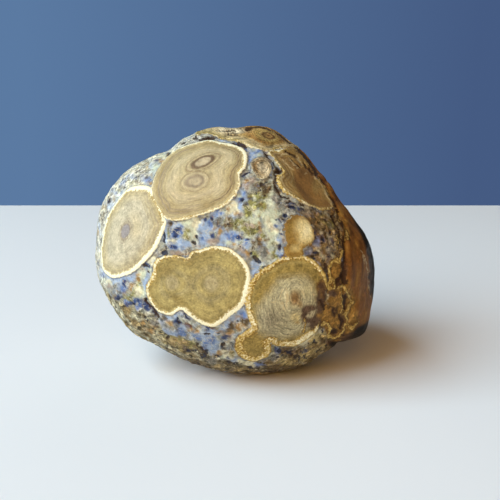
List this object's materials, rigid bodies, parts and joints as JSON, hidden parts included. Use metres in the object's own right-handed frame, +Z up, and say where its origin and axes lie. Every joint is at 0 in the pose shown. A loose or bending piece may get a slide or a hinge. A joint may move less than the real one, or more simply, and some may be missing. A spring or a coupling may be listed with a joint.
{
  "type": "agate pebble",
  "caption": "Palm-sized rounded pebble of orbicular agate, with ringed orbs on its worn show face and dark rind behind; a display stone that rests on a small worn flat.",
  "frame": {"origin": "on the resting plane, under the middle of the stone's bounding box", "axes": "+X along the stone's longest extent, with the show face towards -Y; +Y through its least thickness; +Z up"},
  "size_m": [0.0618, 0.0444, 0.053],
  "materials": {
    "pebble": "waxy water-worn polish, banded and spotted"
  },
  "bodies": {
    "root": {"pebble": "pebble"}
  },
  "joints": []
}
